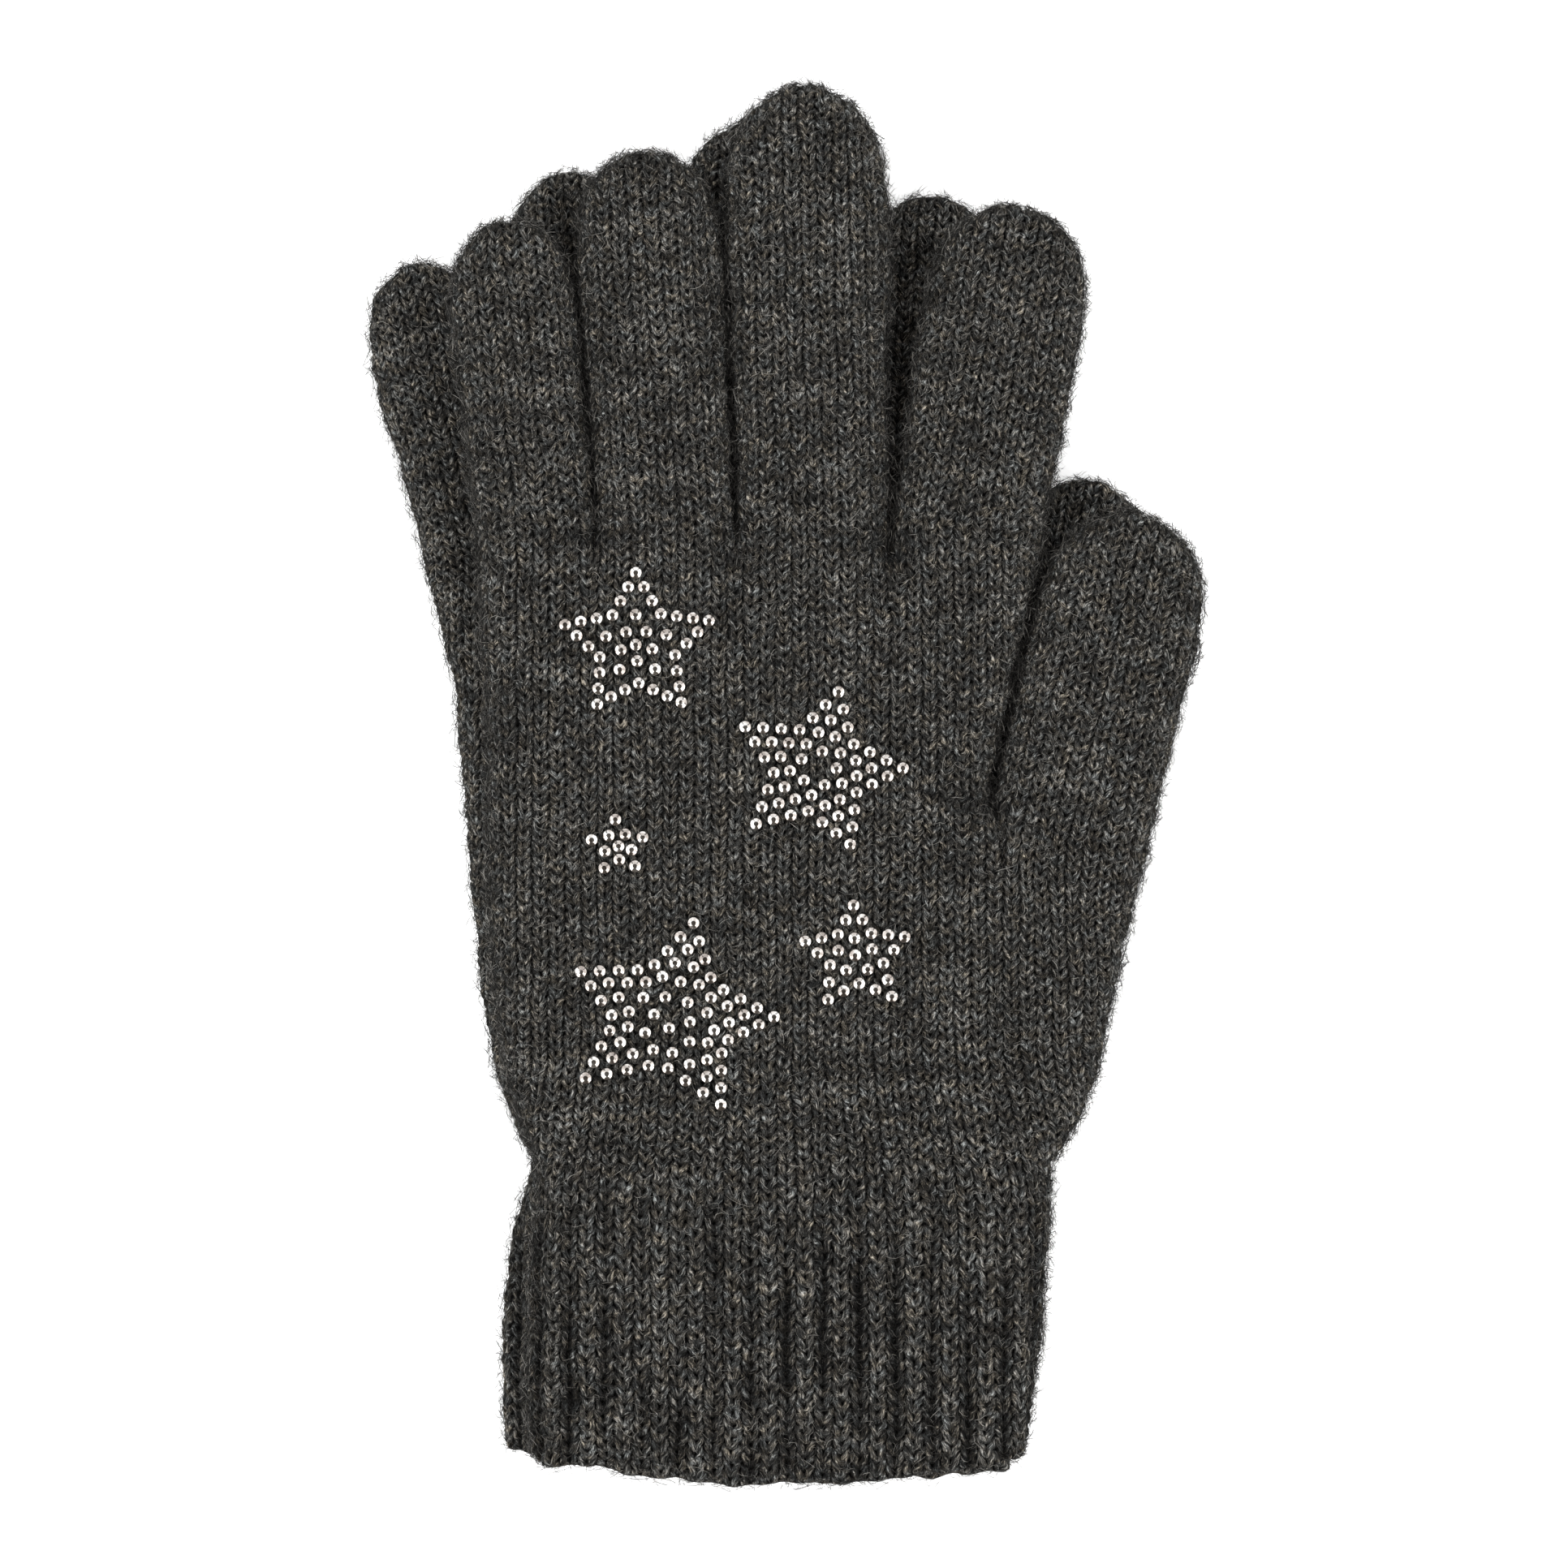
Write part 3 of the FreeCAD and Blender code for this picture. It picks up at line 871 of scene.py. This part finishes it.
def wool():
    """Heathered charcoal wool: strands along the legs, flecks of other shades, and painted shade in
    the gaps.
    """
    m = Nodes("charcoal_wool")
    x, y, seed = m.coordinates("knit")
    drift_x = m.noise(x * 0.9, y * 0.9, seed + 11.0, 1.0) - 0.5
    drift_y = m.noise(x * 0.9, y * 0.9, seed + 23.0, 1.0) - 0.5
    x2, y2 = x + drift_x * 0.9, y + drift_y * 0.9
    top, leg = stitches((x + drift_x * 0.2) / WALE, (y + drift_y * 0.4) / COURSE, NodeMaths)
    lean = leg * LEG_SIN
    across = x2 * LEG_COS - lean * y2
    along = y2 * LEG_COS + lean * x2
    strands = m.noise(across * 4.2, along * 0.9, seed, 3.0, 0.65)
    fine = m.noise(across * 11.0, along * 2.4, seed, 2.0, 0.6)
    heather = m.noise(x * 0.8, y * 0.6, seed, 2.0, 0.6)
    patches = m.noise(x * 0.11, y * 0.22, seed, 2.0)
    value = strands * 0.52 + fine * 0.30 + heather * 0.18 + (patches - 0.5) * 0.12
    value = m.remap(value, 0.42, 0.60)
    shades = greys((0.0, 0.003), (0.3, 0.013), (0.55, 0.035), (0.78, 0.092), (1.0, 0.24))
    colour = m.colours(value, shades)
    tint = m.noise(x * 0.4 + 31.0, y * 0.6, seed, 2.0, 0.6)
    tints = [(0.36, (0.91, 0.99, 1.06)), (0.5, (1.0, 1.0, 1.0)), (0.64, (1.08, 1.0, 0.88))]
    colour = m.times(colour, m.colours(tint, tints))
    # Painted shade from the relief: darker in the gaps between legs and lighter on their crests,
    # times the shade attribute's painted shade of column seams, grooves and rib furrows
    painted_relief_shade = m.remap(top, 0.15, 0.9, 0.02, 1.6)
    colour = m.times(colour, painted_relief_shade * m.attribute("shade"))
    m.bump(strands * 0.6 + fine * 0.3 + top * 0.6, 0.7, 0.3)
    return m.finish(colour, 0.95, specular=0.12)


def fuzz():
    """Single wool fibres, from black to pale grey; those lying on the knit carry its painted shade.
    """
    m = Nodes("wool_fibre")
    shades = greys((0.0, 0.003), (0.4, 0.014), (0.7, 0.065), (1.0, 0.36))
    return m.finish(m.colours(m.attribute("tone"), shades), 0.8, specular=0.2)


def silver():
    """Worn plated metal, a little uneven over each stud and from one stud to the next."""
    m = Nodes("plated_stud")
    x, y, seed = m.coordinates("stud")
    shade = m.noise(x * 0.8, y * 0.8, seed, 1.0)
    stops = [(0.32, (0.27, 0.24, 0.22)), (0.5, (0.42, 0.39, 0.365)), (0.66, (0.60, 0.585, 0.57))]
    m.bump(m.noise(x * 1.1, y * 1.1, seed + 19.0, 1.0), 0.5, 0.25)
    return m.finish(m.colours(shade, stops), 0.17, metallic=1.0)


wool_material = wool()
fuzz_material = fuzz()
silver_material = silver()


# ------------------------------------------------ building a glove


def bend_line(glove, name):
    """A line BEND long, from a digit's root along its normal or from the wrist down. attach reads
    it but does not use it.
    """
    if name == "cuff":
        return (0, glove.wrist * MM, 0), (0, (glove.wrist - BEND) * MM, 0)
    digit = glove.digits[name]
    end = digit.root + digit.normal * BEND
    return (*(digit.root * MM), 0), (*(end * MM), 0)


def attach(obj, glove, name):
    """Make a piece of a hand section move with the glove's hand. A piece of a digit or the cuff
    only gets its placement baked into its mesh and joins no body.
    """
    hand = f"{glove.side}_hand"
    own = f"{glove.side}_{name}"
    if own in frame["bodies"]:
        start, end = bend_line(glove, name)
        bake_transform(obj)
    else:
        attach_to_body(obj, hand)


def rib_crest(u):
    """How near a wale number is to the crest of its rib: 1 on it, 0 between two ribs."""
    return 0.5 + 0.5 * np.cos(math.pi * (u - 0.5))


def relief(glove, name, ring, normal, u, top, pinch):
    """How far a section's outer points stand off its ring, and the painted shade of the knit there.
    """
    # Broad lumps and small dents, twice as strong along the sides
    flat = smooth((np.abs(normal[..., 2]) - 0.75) / 0.2)
    lumps = (0.07 * waves(ring, 0) + 0.08 * waves(ring, 1)) * mix(2.0, 1.0, flat)
    # The gaps between legs, and painted shade, darker where two columns meet and in a groove
    # between digits
    height = RELIEF * (top - 1)
    shade = (1 - 0.6 * pinch) * mix(0.75, 1.0, smooth(np.abs(u - np.round(u)) / 0.15))
    if name in ("cuff", "palm"):
        rib = rib_crest(u)
        strength = ribbing(glove, ring[..., 1]) * (0.8 + 0.35 * waves(ring, 0))
        height = height - RIB_DEPTH * strength * (1 - rib) ** 3
        # Painted shade in the furrows between the ribs, strongest where the knit is most ribbed
        shade = shade * mix(1.0, 0.18 + 0.82 * smooth(rib * 2.3), np.clip(strength, 0, 1))
    return height * (1 - 0.8 * pinch) + 0.10 + lumps, shade


def rolled_hem(ring, u, outer, inner):
    """A hem's scallops and round edge: the outer and inner grids, the edge's rows and normals."""
    down = np.array([0.0, -1.0, 0.0])
    depth = 0.3 * rib_crest(u[0]) + (0.25 * waves(ring[0], 1) + 0.5 * waves(ring[0], 0))
    fade = np.exp(-((ring[..., 1] - ring[..., 1].min(0)) / 3.0))
    scallop = (depth * fade)[..., None]
    outer, inner = outer + down * scallop, inner + down * scallop
    middle = (outer[0] + inner[0]) / 2
    arm = outer[0] - middle
    angles = np.linspace(0, math.pi, 7)[1:-1]
    edge = [middle + arm * math.cos(t) + down * (WALL / 2) * math.sin(t) for t in angles]
    normals = [unit_rows(arm) * math.cos(t) + down * math.sin(t) for t in angles]
    return outer, inner, np.array(edge), np.array(normals)


def knit_attributes(obj, u, v, shade, seed, total, hem_rows):
    """Give a shell's points their place in the knit and their painted shade.

    The outer grid's points come first and the hem's last. Those between are inside."""
    columns = u.shape[1]
    place = np.full((total, 3), seed)
    place[:u.size, 0], place[:u.size, 1] = (u * WALE).ravel(), (v * COURSE).ravel()
    rest = np.arange(u.size, total)
    place[u.size:, 0], place[u.size:, 1] = (rest % columns) * 0.4, (rest // columns) * 1.7
    # Painted shade: the outer points carry the shade painted into column seams, grooves between
    # digits and rib furrows; the points inside get 0.5 and the hem's edge 0.9
    light = np.full(total, 0.5)
    light[:u.size] = shade.ravel()
    rolled = np.arange(total - hem_rows * columns, total).reshape(hem_rows, columns)
    place[rolled, 0] = u[0] * WALE
    place[rolled, 1] = v[0] * COURSE - 0.45 * np.arange(1, hem_rows + 1)[:, None]
    light[rolled] = 0.9
    set_attribute(obj, "knit", "FLOAT_VECTOR", place)
    set_attribute(obj, "shade", "FLOAT", light)


def build_section(glove, knit, name, seed, ring, run_on, pinch=0.0):
    """Knit a section round its rows, and put its fuzz on it."""
    pinch = np.broadcast_to(pinch, ring.shape[:2])
    u, v = knit_section(glove, knit, name, ring, run_on)
    # The stitches sit a little unevenly, and each column's start at their own height
    u = u + 0.045 * waves(ring, 2) + 0.05 * waves(ring, 1)
    v = v + 0.06 * waves(ring + 40.0, 2) + 0.3 * np.sin(np.floor(u) * 2.4 + seed)
    top, leg = stitches(u, v, np)
    normal = ring_normals(ring, {"cuff": -1, "palm": 0}.get(name))
    height, shade = relief(glove, name, ring, normal, u, top, pinch)
    outer = ring + normal * height[..., None]
    # Nothing goes below the section's own lower side
    low = glove.low
    if name not in ("palm", "knuckle_panel"):
        low = min(low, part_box(f"{glove.side}_{name}")[0].z / MM)
    outer[..., 2] = np.maximum(outer[..., 2], low + 0.02)
    inner = ring - normal * (WALL * (1 - 0.85 * pinch))[..., None]
    hem = None
    if name == "cuff":
        outer, inner, hem, hem_normal = rolled_hem(ring, u, outer, inner)
    piece = f"{glove.side}_{name}_knit"
    obj, total = shell_mesh(piece, outer, inner, name in DIGITS, hem, wool_material)
    knit_attributes(obj, u, v, shade, seed, total, 0 if hem is None else len(hem))
    bake_uv(obj, *u.shape)
    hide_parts(f"{glove.side}_{name}")
    attach(obj, glove, name)
    # The fibres that lie on the knit get its relief times its painted shade, so they are painted
    # darker in gaps, grooves and rib furrows
    skin = [outer, normal, leg, top * shade]
    if hem is not None:
        first = np.zeros(len(hem), int)
        edge = (hem[::-1], hem_normal[::-1], leg[first], skin[3][first])
        skin = [np.concatenate(pair) for pair in zip(edge, skin)]
    for hairs in coat(glove, name, *skin):
        attach(hairs, glove, name)


def hand_section(glove, cad, start, end, counts, corners, deeper):
    """The rows of a hand section, from its lower line's ends to the points of its upper line."""
    bottom, _, _ = along_line(start)
    top, shares, length = along_line(end)
    left = side_curve(cad, start[0], end[0], 0)
    right = side_curve(cad, start[1], end[-1], 1)
    curves = (left, right, bottom, top, length)
    return hand_rows(glove, shares, curves, counts, corners, deeper)


def build_glove(side):
    """A glove's sections, from the knuckles outwards."""
    glove = Glove(side)
    knit = Knit(glove)
    seed = 3.0 if side == "left" else 57.0
    widths = {n: np.linalg.norm(d.right - d.left) for n, d in glove.digits.items()}
    above, below, _ = STEP[side]
    counts = {n: [steps_round(w, glove.half, step) for step in (above, below)]
              for n, w in widths.items()}

    # The knuckle panel starts level with the thumb's crotch
    level_y = glove.crotch[1]
    first, _ = reach_at(glove.panel, level_y + 0.6)
    panel_start = [np.array([first, level_y]), np.array([glove.crotch[0], level_y])]
    lobes = [[counts[n][k] for n in FINGERS] for k in (0, 1)]
    corners = [DIGIT_CORNER * widths[n] / 2 for n in FINGERS]
    grooves = (0.5, 0.0, 3.2)
    panel = hand_section(glove, glove.panel, panel_start, glove.knuckles, lobes, corners, grooves)
    build_section(glove, knit, "knuckle_panel", seed, *panel)

    # The palm's upper line runs along the panel and then across the thumb's root
    ends = reach_at(glove.palm, glove.wrist + NEAR_ROW)
    palm_start = [np.array([end, glove.wrist]) for end in ends]
    palm_end = panel_start + [glove.thumb_end]
    lobes = [[sum(lobes[k]), counts["thumb"][k]] for k in (0, 1)]
    corners = [HAND_CORNER, DIGIT_CORNER * widths["thumb"] / 2]
    palm = hand_section(glove, glove.palm, palm_start, palm_end, lobes, corners, (1.0,))
    build_section(glove, knit, "palm", seed, *palm)

    for name in DIGITS:
        build_section(glove, knit, name, seed, *digit_rows(glove, name, counts[name]))
    cuff = cuff_rows(glove, [sum(lobes[k]) for k in (0, 1)])
    build_section(glove, knit, "cuff", seed, *cuff)


# ------------------------------------------------ studs, floor, light, camera


# A stud's outline from the rim of its flat top: how far from its axis, and how far below the top
STUD_OUTLINE = [(0.36, 0.0), (0.42, 0.015), (0.48, 0.05), (0.58, 0.12), (0.73, 0.205),
                (0.88, 0.30), (0.97, 0.37), (1.02, 0.46), (1.04, 0.58), (1.04, 0.80)]
STUD_HEIGHT = 0.80
STUD_SIDES = 20
STUD_LEAN = 0.07

# The studio, in metres
FLOOR_SIZE = 3.0
FLOOR_LEVEL = -0.0002
HOOD_RADIUS, HOOD_HEIGHT = 0.8, 1.75
STAND = [(-0.46, -0.80, 0.12), (0.46, -0.80, 0.12), (0.24, -0.3, 1.74), (-0.24, -0.3, 1.74)]
# Softboxes all round but for the front: the bearing, height and width of each, and its power
SOFTBOXES = [(90, 0.66, 1.3, 8.0), (165, 0.62, 1.2, 9.5), (15, 0.62, 1.2, 10.0),
             (-140, 0.60, 0.9, 11.0), (-40, 0.60, 0.9, 10.5)]
SENSOR = 36.0  # millimetres
CAMERA_HEIGHT = 1.6
VIEW_WIDTH = 0.2529  # how much the camera sees at the height of the upper glove's back


def stud_places(side, star):
    """The middle of each stud's flat top, from the star's CAD node."""
    co, _ = cad_mesh(f"{side}_star_{star}")
    outer = co[:, 2].max() if side == "left" else co[:, 2].min()
    tops = co[np.abs(co[:, 2] - outer) < 0.02]
    places = []
    while len(tops):
        near = np.linalg.norm(tops[:, :2] - tops[0, :2], axis=1) < 1.0
        low, high = tops[near].min(0), tops[near].max(0)
        places.append((low + high) / 2)
        tops = tops[~near]
    return np.array(places)


def studs(side, star):
    """The studs of one star, each leaning a little its own way."""
    up = 1.0 if side == "left" else -1.0
    angles = np.linspace(0, 2 * math.pi, STUD_SIDES, endpoint=False)
    size = len(STUD_OUTLINE) * STUD_SIDES + 2
    index = 1 + np.arange(size - 2).reshape(len(STUD_OUTLINE), STUD_SIDES)
    nxt = np.roll(index, -1, axis=1)
    top = np.stack([np.zeros(STUD_SIDES, int), index[0], nxt[0]], axis=-1)
    base = np.stack([np.full(STUD_SIDES, size - 1), nxt[-1], index[-1]], axis=-1)
    wall = np.stack([index[:-1], index[1:], nxt[1:], nxt[:-1]], axis=-1).reshape(-1, 4)
    points, quads, triangles, spots = [], [], [], []
    for number, place in enumerate(stud_places(side, star)):
        lean = rng.normal(0, STUD_LEAN, 2)
        turn = rng.uniform(0, math.pi)
        body = [np.zeros((1, 3))]
        for radius, drop in STUD_OUTLINE:
            x, y = radius * np.cos(angles + turn), radius * np.sin(angles + turn)
            body.append(np.column_stack([x, y, -drop + lean[0] * x + lean[1] * y]))
        body.append(np.array([[0, 0, -STUD_HEIGHT]]))
        body = np.concatenate(body)
        points.append(place + body * [1, 1, up])
        spots.append(np.column_stack([body[:, :2], np.full(size, rng.random() * 500)]))
        for faces, made in ((wall, quads), (top, triangles), (base, triangles)):
            made.append(number * size + faces[:, ::int(up)])
    name = f"{side}_star_{star}_studs"
    obj = new_object(name, np.concatenate(points), quads + triangles, silver_material)
    set_attribute(obj, "stud", "FLOAT_VECTOR", np.concatenate(spots))
    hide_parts(f"{side}_star_{star}")
    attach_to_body(obj, f"{side}_hand")


def plain(name, colour, roughness):
    """A material of one colour."""
    return Nodes(name).finish((*colour, 1), roughness)


def sheet(name, corners, material):
    """A flat piece of the studio."""
    mesh = bpy.data.meshes.new(name)
    mesh.from_pydata(corners, [], [tuple(range(len(corners)))])
    mesh.materials.append(material)
    made = bpy.data.objects.new(name, mesh)
    bpy.context.scene.collection.objects.link(made)
    return made


def softbox(bearing, height, width, power):
    """A square light a metre from the middle of the table, turned towards it."""
    light = bpy.data.lights.new("softbox", "AREA")
    light.shape = "SQUARE"
    light.size = width
    light.energy = power
    lamp = bpy.data.objects.new("softbox", light)
    angle = math.radians(bearing)
    lamp.location = (math.cos(angle), math.sin(angle), height)
    lamp.rotation_euler = (-lamp.location).to_track_quat("-Z", "Y").to_euler()
    bpy.context.scene.collection.objects.link(lamp)


def studio():
    """The floor, the lights, what the studs mirror, and the camera straight above."""
    paper = plain("paper", (0.9, 0.9, 0.9), 0.9)
    shader = paper.node_tree.nodes["Principled BSDF"]
    shader.inputs["Emission Color"].default_value = (1, 1, 1, 1)
    shader.inputs["Emission Strength"].default_value = 0.5
    corners = [(x * FLOOR_SIZE, y * FLOOR_SIZE, 0) for x, y in ((-1, -1), (1, -1), (1, 1), (-1, 1))]
    floor = sheet("floor", corners, paper)
    floor.location.z = FLOOR_LEVEL

    # The studs mirror a dark hood round the camera and a dark stand at the front of the table
    black = plain("black_cloth", (0.09, 0.08, 0.07), 1.0)
    turns = [2 * math.pi * k / 32 for k in range(32)]
    rim = [(HOOD_RADIUS * math.cos(t), HOOD_RADIUS * math.sin(t), HOOD_HEIGHT) for t in turns]
    for thing in (sheet("hood", rim, black), sheet("stand", STAND, black)):
        thing.visible_camera = False

    world = bpy.data.worlds.new("studio")
    bpy.context.scene.world = world
    world.use_nodes = True
    background = world.node_tree.nodes["Background"]
    background.inputs["Color"].default_value = (1, 1, 1, 1)
    background.inputs["Strength"].default_value = 0.25
    for box in SOFTBOXES:
        softbox(*box)

    camera = bpy.data.cameras.new("camera")
    camera.sensor_width = SENSOR
    camera.lens = SENSOR * (CAMERA_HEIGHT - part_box("left_palm")[1].z) / VIEW_WIDTH
    eye = bpy.data.objects.new("camera", camera)
    eye.location = (0, 0, CAMERA_HEIGHT)
    bpy.context.scene.collection.objects.link(eye)
    bpy.context.scene.camera = eye
    bpy.context.scene.view_settings.view_transform = "Standard"


for glove_side in ("right", "left"):
    build_glove(glove_side)
for glove_side in ("right", "left"):
    for number in range(1, 6):
        studs(glove_side, number)
studio()
